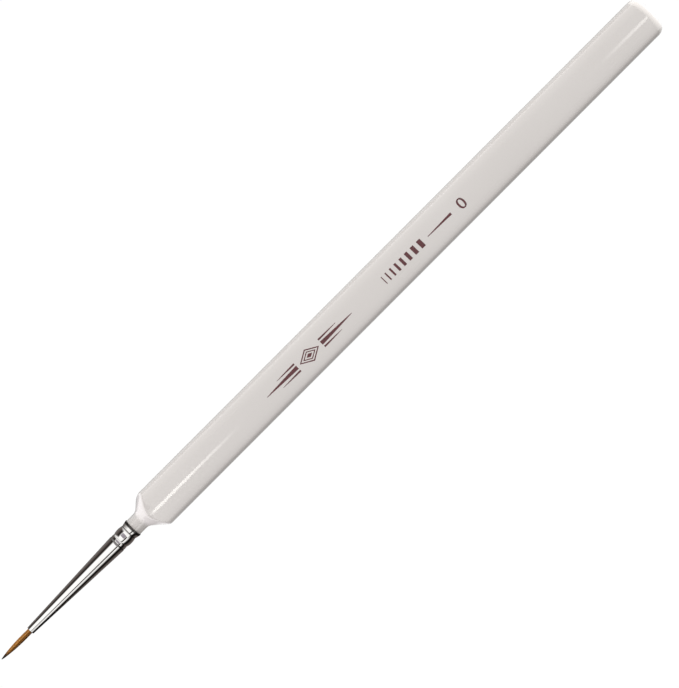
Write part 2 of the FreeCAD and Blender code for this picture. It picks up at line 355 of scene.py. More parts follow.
def nickel_material():
    material, net = new_material("nickel_plate")
    station = net.station(net.position()[0])
    even = net.coords()
    # drawing lines run along the tube
    lines = net.noise(net.coords(along=0.018), scale=5200, detail=4, rough=0.65)
    grain = net.noise(net.coords(along=0.35), scale=9000, detail=3, rough=0.7)
    cloud = net.noise(even, scale=260, detail=3, rough=0.5)
    nose = net.remap(station, span=(MOUTH_S, MOUTH_S + 8.0), to=(1.0, 0.0), smooth=True)
    colour = net.ramp(lines, [(0.25, (0.74, 0.725, 0.70)), (0.55, (0.82, 0.81, 0.79)),
                              (0.8, (0.87, 0.86, 0.845))])
    tarnish = net.remap(cloud, span=(0.55, 0.8), to=(0.0, 0.12))
    colour = net.mix(tarnish, colour, (0.66, 0.62, 0.57))
    # painted shade and dark reflections in the three creases, round the rim and round the mouth
    first = net.band(station, centre=34.08, half=0.33)
    second = net.math("MULTIPLY", net.band(station, centre=34.98, half=0.14), 0.45)
    crease = net.math("MAXIMUM", first, second)
    crease = net.math("MAXIMUM", crease, net.band(station, centre=37.46, half=0.25))
    rim = net.remap(station, span=(RIM_S - 0.62, RIM_S - 0.50), smooth=True)
    mouth = net.remap(station, span=(MOUTH_S + 0.015, MOUTH_S + 0.07), to=(1.0, 0.0),
                      smooth=True)
    # painted shade: each mask darkens the metal towards a near-black colour
    for mask, strength, painted_shade in ((crease, 0.93, (0.035, 0.030, 0.026)),
                                 (rim, 0.92, (0.045, 0.038, 0.034)),
                                 (mouth, 0.55, (0.16, 0.15, 0.14))):
        colour = net.mix(net.math("MULTIPLY", mask, strength), colour, painted_shade)
    rough = net.remap(lines, span=(0.3, 0.75), to=(0.035, 0.065))
    for mask, added in ((nose, 0.012), (crease, 0.20), (rim, 0.25)):
        rough = net.math("ADD", rough, net.math("MULTIPLY", mask, added))
    normal = net.bump(lines, strength=0.05, distance=0.000004)
    normal = net.bump(grain, strength=0.04, distance=0.000003, normal=normal)
    net.principled({"Base Color": colour, "Metallic": 1.0, "Roughness": rough,
                    "Normal": normal})
    return material


def hair_material():
    material, net = new_material("hair_chestnut")
    # painted light and shade: the tone attribute holds each hair's own tone together with the
    # paler lit side, the highlight streak and the darker inner hairs
    tone_and_light = net.add("Attribute", attribute_name="tone_and_light").outputs["Fac"]
    station = net.add("Attribute", attribute_name="station").outputs["Fac"]
    streak = net.noise(net.coords(along=0.16), scale=9000, detail=4, rough=0.6)
    shade = net.math("ADD", net.math("MULTIPLY", tone_and_light, 0.82),
                     net.math("MULTIPLY", streak, 0.18))
    colour = net.ramp(shade, [
        (0.06, (0.026, 0.008, 0.002)), (0.28, (0.105, 0.039, 0.004)),
        (0.50, (0.252, 0.095, 0.008)), (0.70, (0.420, 0.173, 0.027)),
        (0.88, (0.630, 0.302, 0.085)), (1.00, (0.760, 0.430, 0.190))])
    # darker towards the point
    point_darkening = net.remap(station, span=(0.9, 2.7), to=(0.96, 0.0), smooth=True)
    colour = net.mix(point_darkening, colour, (0.016, 0.010, 0.008))
    # shade where the hair enters the tube
    entry = net.remap(station, span=(MOUTH_S - 0.16, MOUTH_S + 0.02), to=(0.0, 0.70),
                      smooth=True)
    colour = net.mix(entry, colour, (0.030, 0.012, 0.006))
    rough = net.remap(streak, span=(0.3, 0.7), to=(0.30, 0.46))
    scales = net.noise(net.coords(), scale=26000, detail=2, rough=0.6)
    net.principled({
        "Base Color": colour, "Roughness": rough, "IOR": 1.55, "Specular IOR Level": 0.24,
        "Normal": net.bump(scales, strength=0.10, distance=0.000002)})
    return material


def wood_material():
    material, net = new_material("handle_wood_grain")
    rings = net.add("TexWave", {
        "Vector": net.coords(along=0.035), "Scale": 160, "Distortion": 3.2, "Detail": 3,
        "Detail Scale": 1.4}, wave_type="RINGS", bands_direction="X").outputs["Fac"]
    fibre = net.noise(net.coords(along=0.02), scale=3200, detail=4, rough=0.6)
    grain = net.math("ADD", net.math("MULTIPLY", rings, 0.6),
                     net.math("MULTIPLY", fibre, 0.4))
    net.principled({
        "Base Color": net.ramp(grain, [(0.15, (0.40, 0.245, 0.125)),
                                       (0.5, (0.56, 0.385, 0.215)),
                                       (0.85, (0.68, 0.50, 0.31))]),
        "Roughness": net.remap(fibre, span=(0.3, 0.7), to=(0.55, 0.78)),
        "Normal": net.bump(grain, strength=0.35, distance=0.00003)})
    return material


def cast_material(name, low, high, rough, scale, coat, strength):
    """A cloudy set resin, from colour low to colour high."""
    material, net = new_material(name)
    even = net.coords()
    cloud = net.noise(even, scale=scale, detail=5, rough=0.6)
    colour = net.ramp(cloud, [(0.3, low), (0.7, high)])
    roughness = net.remap(cloud, span=(0.3, 0.7), to=rough)
    ripple = net.noise(even, scale=scale * 3.5, detail=3, rough=0.6)
    net.principled({"Base Color": colour, "Roughness": roughness, "Coat Weight": coat,
                    "Normal": net.bump(ripple, strength=strength, distance=0.00001)})
    return material


def thread_material():
    material, net = new_material("binding_thread_twist")
    twist = net.add("TexWave", {"Vector": net.coords(), "Scale": 14000, "Distortion": 1.0},
                    wave_type="BANDS", bands_direction="DIAGONAL").outputs["Fac"]
    net.principled({
        "Base Color": net.ramp(twist, [(0.2, (0.52, 0.48, 0.40)), (0.8, (0.80, 0.77, 0.70))]),
        "Roughness": 0.8,
        "Normal": net.bump(twist, strength=0.5, distance=0.00001)})
    return material


def ink_material():
    material, net = new_material("print_ink_dark_red")
    mottle = net.noise(net.coords(), scale=2600, detail=5, rough=0.65)
    net.principled({
        "Base Color": net.ramp(mottle, [(0.28, (0.060, 0.005, 0.008)),
                                        (0.6, (0.100, 0.008, 0.013)),
                                        (0.85, (0.160, 0.025, 0.030))]),
        "Roughness": net.remap(mottle, span=(0.3, 0.7), to=(0.22, 0.42)),
        "Coat Weight": 0.35, "Coat Roughness": 0.12,
        "Normal": net.bump(mottle, strength=0.15, distance=0.000006)})
    return material


LACQUER = lacquer_material()
NICKEL = nickel_material()
HAIR = hair_material()
WOOD = wood_material()
INK = ink_material()
GLUE = cast_material("tenon_adhesive_amber", low=(0.40, 0.27, 0.11), high=(0.62, 0.46, 0.23),
                     rough=(0.30, 0.50), scale=900, coat=0.0, strength=0.2)
RESIN = cast_material("root_resin_amber", low=(0.20, 0.085, 0.020), high=(0.42, 0.21, 0.06),
                      rough=(0.10, 0.25), scale=1200, coat=0.3, strength=0.1)
THREAD = thread_material()

# CAD pieces that keep their own shape
for node, material in (("tenon_glue", GLUE), ("root_resin", RESIN),
                       ("binding_thread", THREAD)):
    slots = frame["nodes"][node].data.materials
    slots.clear()
    slots.append(material)


# ---------------------------------------------------------------- handle section
# Half a facet is a crown arc, a flank arc and a corner arc that run smoothly into each other.
# Points on it are (height out from the axis, offset across the facet).
def flank_join(crown_end):
    """Height and offset where flank meets corner, and the corner's radius."""
    height = (FACET_R - CROWN_R * (1 - math.cos(crown_end))
              - FLANK_R * (math.cos(crown_end) - math.cos(FLANK_END)))
    offset = (CROWN_R * math.sin(crown_end)
              + FLANK_R * (math.sin(FLANK_END) - math.sin(crown_end)))
    # the corner's centre lies on the 60 degree line
    root3 = math.sqrt(3)
    radius = (offset - root3 * height) / (math.sin(FLANK_END) - root3 * math.cos(FLANK_END))
    return height, offset, radius


def solve_crown_end():
    """The crown half-angle that gives the section its full width, by halving."""
    low, high = math.radians(0.05), math.radians(8.0)
    for _ in range(80):
        middle = (low + high) / 2
        _, offset, radius = flank_join(middle)
        if offset - radius * math.sin(FLANK_END) + radius < HALF_W:
            low = middle
        else:
            high = middle
    return middle


CROWN_END = solve_crown_end()
JOIN_H, JOIN_T, CORNER_R = flank_join(CROWN_END)
CROWN_T = CROWN_R * math.sin(CROWN_END)
# centres of the flank and corner arcs
FLANK_H = FACET_R - CROWN_R * (1 - math.cos(CROWN_END)) - FLANK_R * math.cos(CROWN_END)
FLANK_T = CROWN_T - FLANK_R * math.sin(CROWN_END)
CORNER_H = JOIN_H - CORNER_R * math.cos(FLANK_END)
CORNER_T = JOIN_T - CORNER_R * math.sin(FLANK_END)


def facet_height(offset):
    """Distance out from the axis to the skin, at an offset across a facet."""
    offset = abs(offset)
    if offset <= CROWN_T:
        return FACET_R - CROWN_R + math.sqrt(CROWN_R ** 2 - offset ** 2)
    return FLANK_H + math.sqrt(max(FLANK_R ** 2 - (offset - FLANK_T) ** 2, 0))


def section(inset):
    """(angles, radii) of the three-sided section, from the middle of the bottom facet."""
    points = [(facet_height(offset) - inset, offset)
              for offset in np.linspace(0, CROWN_T, 9, endpoint=False)]
    arcs = ((FLANK_H, FLANK_T, FLANK_R, np.linspace(CROWN_END, FLANK_END, 9, endpoint=False)),
            (CORNER_H, CORNER_T, CORNER_R, np.linspace(FLANK_END, CORNER_END, 14)))
    for height, offset, radius, angles in arcs:
        points += [(height + (radius - inset) * math.cos(angle),
                    offset + (radius - inset) * math.sin(angle)) for angle in angles]
    half = [(math.atan2(offset, height), math.hypot(height, offset))
            for height, offset in points]
    side = half + [(2 * CORNER_END - angle, radius) for angle, radius in half[-2:0:-1]]
    angles = [math.radians(-90 + 120 * k) + angle for k in range(3) for angle, _ in side]
    return np.array(angles), np.array([radius for _, radius in side] * 3)


def turned_radius(station, inset):
    """The neck, its hollow fillet and the cone that the facets are cut from."""
    slope = math.atan(CONE_SLOPE)
    fillet_s = (CONE_S - (CONE_R - NECK_R) / CONE_SLOPE
                - NECK_FILLET * math.tan(slope / 2))
    fillet = NECK_FILLET + inset
    if station <= fillet_s:
        return NECK_R - inset
    if station <= fillet_s + fillet * math.sin(slope):
        return NECK_R + NECK_FILLET - math.sqrt(fillet ** 2 - (station - fillet_s) ** 2)
    cone = CONE_R + CONE_SLOPE * (station - CONE_S) - inset / math.cos(slope)
    return min(cone, TURNED_LIMIT - inset)


def smooth_min(first, second, blend):
    overlap = np.clip(blend - np.abs(first - second), 0, None) / blend
    return np.minimum(first, second) - overlap * overlap * blend / 4


def skin_rings(stations, inset):
    angles, radii = section(inset)
    return [ring_at(station, smooth_min(radii, turned_radius(station, inset),
                                        blend=0.34 if station < 100 else 0.46), angles)
            for station in stations]


def tail_fall(radii):
    """How far the domed tail end falls away at radii from the axis."""
    return 0.0012 * radii ** 4 + 0.5 * np.clip(radii - 4.5, 0, None) ** 2


def tail_rings(inset, steps):
    """The rounded edge and domed end, in to a small ring round the middle of the tail."""
    edge, end = TAIL_EDGE - inset, TAIL_S - inset
    rings = []
    for turn in np.linspace(0, math.pi / 2, steps):
        angles, radii = section(inset + edge * (1 - math.cos(turn)))
        station = end - edge + edge * math.sin(turn)
        rings.append(ring_at(station - tail_fall(radii), radii, angles))
    for share in (0.97, 0.92, 0.85, 0.75, 0.62, 0.48, 0.34, 0.2, 0.08):
        rings.append(ring_at(end - tail_fall(radii * share), radii * share, angles))
    return rings


def axis_point(station):
    return (x_at(station), 0, AXIS_Z)


# ---------------------------------------------------------------- handle pieces
def handle_skin():
    """The lacquer coat: up its inner face from the tail, then down its outer face."""
    outer = [*np.linspace(RIM_S, 41.9, 34), *np.linspace(42.0, 46.0, 58),
             *np.linspace(48.0, TAIL_RUN, 60)]
    inner = [*np.linspace(RIM_S, 46.0, 40), *np.linspace(50.0, TAIL_RUN, 26)]
    rings = tail_rings(COAT, steps=9)[::-1] + skin_rings(inner[::-1], COAT)
    rings += skin_rings(outer, 0.0) + tail_rings(0.0, steps=18)
    verts, faces = stitch(rings, poles=[axis_point(TAIL_S - COAT), axis_point(TAIL_S)])
    return mesh_object("handle_gloss_lacquer", verts, faces, LACQUER, sharp=50)


def bore_radius(station):
    """The bore along the tube's cone."""
    slope = (TUBE_CONE_R - WALL - BORE_R) / (TUBE_CONE_END - MOUTH_S)
    return BORE_R + slope * (station - MOUTH_S)


def bore_runs(depth):
    """The bore's crimped outline, set in by depth."""
    return [[(station, radius - depth) for station, radius in run] for run in BORE_CRIMP]


def wood_blank():
    """The wood inside the coat, with its tenon in the ferrule."""
    angles, _ = section(COAT)
    depth = WALL + GLUE_FILM
    chamfer_end = TENON_S + 0.35
    front = [(TENON_S, bore_radius(TENON_S) - GLUE_FILM - 0.10),
             (chamfer_end, bore_radius(chamfer_end) - GLUE_FILM),
             (TUBE_CONE_END, TUBE_CONE_R - depth)]
    runs = bore_runs(depth)
    # past the bead the tenon meets the neck inside the coat
    runs[2] = runs[2][:2] + [(38.20, NECK_R - COAT - 0.03), (38.45, NECK_R - COAT)]
    front += follow(front[-1], runs, samples=4)
    rings = [ring_at(station, radius, angles) for station, radius in front]
    rings += skin_rings([*np.linspace(38.8, 46.0, 40), *np.linspace(50.0, TAIL_RUN, 26)], COAT)
    rings += tail_rings(COAT, steps=9)
    verts, faces = stitch(rings, poles=[axis_point(TENON_S), axis_point(TAIL_S - COAT)])
    return mesh_object("handle_wood_blank", verts, faces, WOOD, sharp=50)


handle = handle_skin()
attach(handle, "handle")
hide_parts("handle_lacquer")

blank = wood_blank()
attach(blank, "handle")
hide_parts("handle_core")


# ---------------------------------------------------------------- ferrule
def ferrule_tube():
    """A tapered tube, crimped on the handle, with a rounded lip and rim."""
    lip, edge = 0.060, 0.055
    slope = (TUBE_CONE_R - MOUTH_R) / (TUBE_CONE_END - MOUTH_S)
    outer = [(MOUTH_S + lip * (1 - math.sin(turn)), MOUTH_R - lip + lip * math.cos(turn))
             for turn in np.linspace(math.pi / 2, 0, 7)]
    outer += [(station, MOUTH_R + slope * (station - MOUTH_S))
              for station in np.linspace(MOUTH_S + 0.35, TUBE_CONE_END, 60)]
    outer += follow((TUBE_CONE_END, TUBE_CONE_R), CRIMP, samples=7)
    outer = [point for point in outer if point[0] <= RIM_S - edge]
    outer += [(RIM_S - edge + edge * math.sin(turn), COLLAR_R - edge + edge * math.cos(turn))
              for turn in np.linspace(0, math.pi / 2, 7)]
    # the bore opens by a small step at both ends
    step = 0.02
    inner = [(MOUTH_S, BORE_R + step)]
    inner += [(station, bore_radius(station))
              for station in np.linspace(MOUTH_S + 0.03, TUBE_CONE_END, 26)]
    inner += follow((TUBE_CONE_END, TUBE_CONE_R - WALL), bore_runs(WALL), samples=4)
    inner = [point for point in inner if point[0] < RIM_S - 0.03]
    inner.append((RIM_S, COLLAR_R - WALL + step))
    angles = full_turn(224)
    verts, faces = stitch([ring_at(station, radius, angles)
                           for station, radius in outer + inner[::-1]], wrap=True)
    return mesh_object("ferrule_crimped_tube", verts, faces, NICKEL, sharp=32)


ferrule = ferrule_tube()
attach(ferrule, "handle")
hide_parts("ferrule")

# ---------------------------------------------------------------- tuft
# (station, radius) of the whole bundle
TUFT = np.array([
    (0.0, 0.020), (0.12, 0.072), (0.3, 0.125), (0.7, 0.205), (1.4, 0.312), (2.1, 0.395),
    (2.9, 0.470), (3.7, 0.530), (4.25, 0.562), (5.1, 0.600), (6.0, 0.622), (6.9, 0.622),
    (7.9, 0.606), (8.5, 0.595), (12.0, 0.595), (18.8, 0.595), (19.6, 0.60), (20.4, 0.64)])
TUFT_S, TUFT_R = TUFT.T
ROOT_S = 20.4
FREE_S = 8.5        # hairs lean and wave on the point's side of this station
# (depth as a share of the bundle's radius, count, hair radius at the belly)
LAYERS = ((1.0, 62, 0.0335), (0.915, 54, 0.036), (0.80, 44, 0.040), (0.62, 30, 0.046))
# stations where the tuft is cut into slices, from the heel to the point
CUTS = [MOUTH_S + 0.75, *((HINGE_S[i] + HINGE_S[i + 1]) / 2 for i in range(3)), 0.0]


def tuft_radius(station):
    """Monotone cubic through the TUFT points."""
    i = int(np.clip(np.searchsorted(TUFT_S, station) - 1, 0, len(TUFT_S) - 2))
    rise = np.diff(TUFT_R) / np.diff(TUFT_S)

    def slope(k):
        if k == 0:
            return rise[0]
        if k == len(TUFT_S) - 1:
            return rise[-1]
        before, after = rise[k - 1], rise[k]
        return 0.0 if before * after <= 0 else 2 * before * after / (before + after)

    gap = TUFT_S[i + 1] - TUFT_S[i]
    u = (station - TUFT_S[i]) / gap
    return ((2 * u ** 3 - 3 * u ** 2 + 1) * TUFT_R[i]
            + (u ** 3 - 2 * u ** 2 + u) * gap * slope(i)
            + (-2 * u ** 3 + 3 * u ** 2) * TUFT_R[i + 1]
            + (u ** 3 - u ** 2) * gap * slope(i + 1))


def hair_tone_and_light(angle, depth):
    """0 is dark and 1 is pale: painted light makes one side of the bundle paler and painted
    shade makes the inner hairs darker, with odd hairs anywhere.
    """
    clump = 0.5 + 0.5 * math.sin(angle * 3 + 1.3) * math.cos(angle * 7 + 0.4)
    # painted light: hairs on the side towards the lamps are paler, those on the far side darker
    side = math.cos(angle - math.radians(78))
    tone_and_light = float(np.clip(rng.normal(0.38 + 0.38 * side + 0.10 * (clump - 0.5), 0.11),
                         0.03, 0.98))
    if rng.random() < 0.10:
        tone_and_light = float(np.clip(tone_and_light + rng.uniform(0.10, 0.25), 0.0, 1.0))
    if rng.random() < 0.13:
        tone_and_light = float(tone_and_light * rng.uniform(0.25, 0.6))
    # a painted highlight: a pale streak in the outer layer
    if abs(math.degrees(angle) - 119.0) < 8.0 and depth == 1.0:
        tone_and_light = float(rng.uniform(0.95, 1.0))
    # painted shade: the inner layers are darker
    return tone_and_light * 0.45 if depth < 0.9 else tone_and_light


def make_hair(angle, depth, thick):
    """Draws one hair; the order of the draws fixes the whole tuft."""
    return {
        "angle": angle,
        "tone_and_light": hair_tone_and_light(angle, depth),
        "depth": depth * (1 + rng.uniform(-0.016, 0.010)),
        "thick": thick * rng.uniform(0.80, 1.14),
        "end": abs(rng.normal(0, 0.55)) if depth > 0.9 else rng.uniform(0.5, 2.6),
        "wave": rng.uniform(0, 2 * math.pi),
        "rate": rng.uniform(0.35, 0.95),
        "amp": rng.uniform(0.006, 0.030),
        "lean": rng.normal(0, 0.022),
    }


HAIRS = [make_hair(2 * math.pi * (k + rng.uniform(-0.30, 0.30)) / count, depth, thick)
         for depth, count, thick in LAYERS for k in range(count)]
# a few hairs run all the way to the very point
for k in range(7):
    HAIRS[k * 9]["end"] = 0.0


def hair_width(hair, station):
    """A hair's radius, tapered with the bundle and towards its own end."""
    taper = (max(tuft_radius(station), 0.001) / 0.60) ** 0.86
    fade = min(1.0, (station - hair["end"]) / 1.1 + 0.02)
    return hair["thick"] * taper * max(fade, 0.06) ** 0.6


def hair_ring(hair, station, sides=7):
    free = min(max((FREE_S - station) / 1.5, 0), 1)
    angle = (hair["angle"] + hair["lean"] * (FREE_S - min(station, FREE_S)) * 0.35
             + hair["amp"] * math.sin(hair["rate"] * station * 2 + hair["wave"])
             * (0.15 + 0.85 * free))
    width = hair_width(hair, station)
    out = max(tuft_radius(station) * hair["depth"] - width, 0.0)
    turn = full_turn(sides) + angle
    y = out * math.cos(angle) + width * np.cos(turn)
    z = out * math.sin(angle) + width * np.sin(turn)
    return np.column_stack([np.full(sides, x_at(station)), y * MM, AXIS_Z + z * MM])


def hair_stations(hair, high, low, step):
    """Stations of a hair's rings from high down to low, or to where the hair ends."""
    end = max(low, hair["end"])
    if end >= high - 0.02:
        return None
    count = max(2, int(math.ceil((high - end) / step)) + 1)
    if end > low or low == 0.0:
        # finer rings towards a free end
        return high + (end - high) * (1 - (1 - np.linspace(0, 1, count + 3)) ** 1.25)
    return np.linspace(high, end, count)


def tuft_slice(name, high, low, step=0.16, hairs=HAIRS, core_share=0.80):
    """The hairs between two stations round a dark core of painted shade, with tone and station
    attributes; the tone holds painted light and shade.
    """
    pieces = []
    for hair in hairs:
        stations = hair_stations(hair, high, low, step)
        if stations is not None:
            pieces.append(([hair_ring(hair, station) for station in stations], hair["tone_and_light"]))
    core_end = max(low, 0.02)
    core = [ring_at(station, max(tuft_radius(station) * core_share, 0.004), full_turn(28))
            for station in np.linspace(high, core_end, max(6, int((high - core_end) / 0.2)))]
    # the core's dark tone is painted shade between the hairs
    pieces.append((core, 0.08))

    verts, faces, tones_and_light = [], [], []
    for rings, tone_and_light in pieces:
        piece_verts, piece_faces = stitch(rings, caps=True, base=len(tones_and_light))
        verts.append(piece_verts)
        faces += piece_faces
        tones_and_light += [tone_and_light] * len(piece_verts)
    verts = np.concatenate(verts)
    ob = mesh_object(name, verts, faces, HAIR, sharp=55)
    for key, values in (("tone_and_light", tones_and_light), ("station", (verts[:, 0] - TIP_X) / MM)):
        attribute = ob.data.attributes.new(key, "FLOAT", "POINT")
        attribute.data.foreach_set("value", np.array(values, np.float32))
    return ob


for i, part in enumerate(("heel", "waist", "belly", "point")):
    ob = tuft_slice("tuft_hairs_" + part, CUTS[i], CUTS[i + 1])
    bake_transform(ob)
    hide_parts("tuft_" + part)

root_hairs = [dict(hair, amp=hair["amp"] * 0.2, end=0.0) for hair in HAIRS]
roots = tuft_slice("tuft_hair_roots", ROOT_S, CUTS[0], step=1.2, hairs=root_hairs,
                   core_share=0.62)
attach(roots, "handle")
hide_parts("tuft_root")

# ---------------------------------------------------------------- printed marks
# Films are grids of (station, offset across the facet) points.
FACET_OUT = np.array([0.0, -math.cos(FACET_ELEV), math.sin(FACET_ELEV)])
FACET_ACROSS = np.array([0.0, math.sin(FACET_ELEV), math.cos(FACET_ELEV)])
INK_LIFT, INK_SINK = 0.009, 0.020


def on_facet(station, offset, lift):
    height = facet_height(offset) + lift
    return np.array(axis_point(station)) + (FACET_OUT * height + FACET_ACROSS * offset) * MM


def slab(grid, wrap):
    """A thin closed film over a grid; wrap joins its last row to its first."""
    rows, columns = len(grid), len(grid[0])
    verts = [on_facet(station, offset, lift) for lift in (INK_LIFT, -INK_SINK)
             for row in grid for station, offset in row]
    under = rows * columns
    faces = []
    for i in range(rows if wrap else rows - 1):
        near, far = i * columns, (i + 1) % rows * columns
        for j in range(columns - 1):
            quad = (near + j, near + j + 1, far + j + 1, far + j)
            faces.append(quad)
            faces.append((under + quad[3], under + quad[2], under + quad[1], under + quad[0]))
        for j in (0, columns - 1):
            side = (near + j, far + j, under + far + j, under + near + j)
            faces.append(side if j == 0 else side[::-1])
    if not wrap:
        end = (rows - 1) * columns
        for j in range(columns - 1):
            faces.append((j + 1, j, under + j, under + j + 1))
            faces.append((end + j, end + j + 1, under + end + j + 1, under + end + j))
    return verts, faces


def strip(start, end, half, offset=0, rows=24, columns=5):
    """A straight film; half(u) is its half width at a share u of its length."""
    grid = [[(start + (end - start) * u, offset + v * half(u))
             for v in np.linspace(-1, 1, columns)] for u in np.linspace(0, 1, rows)]
    return grid, False


def ring_film(centre, outer, inner, power, rows=64):
    """A ring between two superellipses, each (half length, half width); power 1 is a lozenge."""
    grid = []
    for k in range(rows):
        turn = 2 * math.pi * k / rows
        x, y = (math.copysign(abs(part) ** (2 / power), part)
                for part in (math.cos(turn), math.sin(turn)))
        grid.append([(centre + x * (inner[0] + (outer[0] - inner[0]) * u),
                      y * (inner[1] + (outer[1] - inner[1]) * u))
                     for u in np.linspace(0, 1, 3)])
    return grid, True


def film_object(name, films):
    verts, faces = [], []
    for grid, wrap in films:
        film_verts, film_faces = slab(grid, wrap)
        faces += [tuple(len(verts) + i for i in face) for face in film_faces]
        verts += film_verts
    return mesh_object(name, verts, faces, INK, sharp=40)


def lozenge_mark():
    """Three nested lozenges between tapered strokes."""
    centre = 90.2
    films = [
        ring_film(centre, outer=(2.78, 1.64), inner=(2.32, 1.34), power=1.0),
        ring_film(centre, outer=(1.78, 1.04), inner=(1.38, 0.79), power=1.0),
        strip(centre - 0.80, centre + 0.80, lambda u: max(0.46 * (1 - abs(2 * u - 1)), 0.012)),
    ]
    # (far end from the centre, offset, added half width at the root, half width at the end,
    # rows)
    strokes = ((12.4, 0, 0.41, 0.04, 40), (8.6, 0.98, 0.18, 0.03, 30),
               (8.6, -0.98, 0.18, 0.03, 30))
    for sign in (-1, 1):
        for far, offset, root, tip, rows in strokes:
            films.append(strip(centre + sign * 3.5, centre + sign * far,
                               lambda u: root * (1 - u) ** 0.8 + tip,
                               offset=offset, rows=rows))
    return film_object("print_lozenge_mark", films)


def size_scale():
    """Eight bars of growing width, a widening stroke and the numeral 0."""
    films = []
    station = 112.0
    for k in range(8):
        width = 0.20 + 0.118 * k
        films.append(strip(station, station + width, lambda u: 0.98, rows=3, columns=9))
        station += width + 0.92
    films.append(strip(station + 0.6, station + 7.4, lambda u: 0.075 + 0.21 * u))
    films.append(ring_film(station + 10.4, outer=(0.88, 1.22), inner=(0.44, 0.93),
                           power=2.3, rows=72))
    return film_object("print_size_scale", films)


for ob in (lozenge_mark(), size_scale()):
    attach(ob, "handle")


# ---------------------------------------------------------------- floor
def plane(name, size, centre, normal, material):
    """A rectangle square to normal; size is (along x, across), and normal has no x part."""
    along = Vector((1, 0, 0))
    across = Vector(normal).cross(along)
    corners = [Vector(centre) + along * size[0] / 2 * i + across * size[1] / 2 * j
               for i, j in ((-1, -1), (1, -1), (1, 1), (-1, 1))]
    mesh = bpy.data.meshes.new(name)
    mesh.from_pydata([tuple(corner) for corner in corners], [], [(0, 1, 2, 3)])
    ob = bpy.data.objects.new(name, mesh)
    bpy.context.scene.collection.objects.link(ob)
    mesh.materials.append(material)
    return ob


def warm(level):
    """A dark grey with a brown cast."""
    return (level * 1.14, level * 0.96, level * 0.90)


# What reflections see of the floor: (y in mm, brightness), front to back
UNDER_TUBE = [
    (-40.0, 1.05), (-28.0, 1.0), (-22.0, 0.80), (-17.5, 0.56), (-14.3, 0.27),
    (-11.4, warm(0.045)), (-9.4, warm(0.006)), (-5.5, warm(0.003)), (-4.8, warm(0.018)),
    (-4.0, warm(0.050)), (-2.6, warm(0.105)), (-1.1, warm(0.160)), (0.5, 0.20), (6.0, 0.21),
    (14.0, 0.20), (40.0, 0.18)]
UNDER_NOSE = [
    (-40.0, 1.10), (-28.0, 1.08), (-22.0, 1.0), (-17.5, 0.86), (-14.3, 0.52),
    (-11.8, warm(0.10)), (-9.6, warm(0.004)), (-4.0, warm(0.003)), (-1.1, warm(0.008)),
    (3.0, warm(0.030)), (14.0, 0.06), (40.0, 0.10)]
UNDER_HANDLE = [
    (-40.0, 0.50), (-20.0, 0.16), (-8.0, 0.03), (-5.7, 0.05), (-4.7, 0.55), (-3.6, 0.95),
    (2.0, 0.95), (6.0, 0.62), (12.0, 0.47), (40.0, 0.40)]
# light the floor throws back, under the tube and under the handle
TUBE_BOUNCE, HANDLE_BOUNCE = 0.64, 0.345


def floor_material():
    """Even white to the camera, shaded in reflections, a soft lamp to everything else."""
    material, net = new_material("stage_floor_white")
    rays = net.add("LightPath").outputs
    x, y, _ = net.position()
    y_mm = net.math("MULTIPLY", y, 1000.0)
    past_tail = net.remap(x, span=(TAIL_X, TAIL_X + 0.4 * MM))
    # the shade under the tube narrows towards the nose
    narrowing = net.remap(net.station(x), span=(11.0, 32.0), to=(0.56, 0.98))
    tube = net.profile(net.math("DIVIDE", y_mm, narrowing), UNDER_TUBE)
    nose = net.profile(net.math("DIVIDE", y_mm, narrowing), UNDER_NOSE)
    mirrored = net.mix(net.remap(x, span=(x_at(12.0), x_at(25.0)), to=(1.0, 0.0)), tube, nose)
    soft = net.noise(net.coords(), scale=30, detail=2, rough=0.5)
    white = net.mix(net.remap(soft, span=(0.3, 0.7)), (0.998, 0.998, 0.998), (1.0, 1.0, 1.0))
    to_camera = net.emission(white, strength=1.02)
    handle_shade = net.profile(y_mm, UNDER_HANDLE)
    past_rim = net.remap(x, span=(RIM_X + 1.5 * MM, RIM_X + 3.5 * MM))
    mirrored = net.mix(past_rim, mirrored, handle_shade)
    to_glossy = net.emission(net.mix(past_tail, mirrored, (1.15, 1.15, 1.17)))
    bounce = net.remap(x, span=(x_at(38.0), x_at(50.0)), to=(TUBE_BOUNCE, HANDLE_BOUNCE),
                       smooth=True)
    to_others = net.emission((1.0, 0.985, 0.97), strength=bounce)
    unseen = net.mix_shader(rays["Is Glossy Ray"], to_others, to_glossy)
    net.output(net.mix_shader(rays["Is Camera Ray"], unseen, to_camera))
    material.cycles.emission_sampling = "NONE"
    return material


plane("stage_floor", size=(6, 6), centre=(0, 0, -0.00003), normal=(0, 0, 1),
      material=floor_material())

# ---------------------------------------------------------------- world
scene = bpy.context.scene
# (degrees round the brush, brightness): 0 in front, 90 overhead, 180 behind
SKY = [
    (0.0, 1.08), (9.0, 1.12), (26.0, 1.18), (45.0, 1.28), (60.0, 1.30), (80.0, 1.30),
    (85.5, 0.95), (90.5, 0.28), (95.5, warm(0.080)), (101.0, warm(0.026)),
    (109.0, warm(0.018)), (117.0, warm(0.040)), (126.6, warm(0.075)), (143.0, warm(0.120)),
    (164.0, warm(0.175)), (180.0, 0.19)]


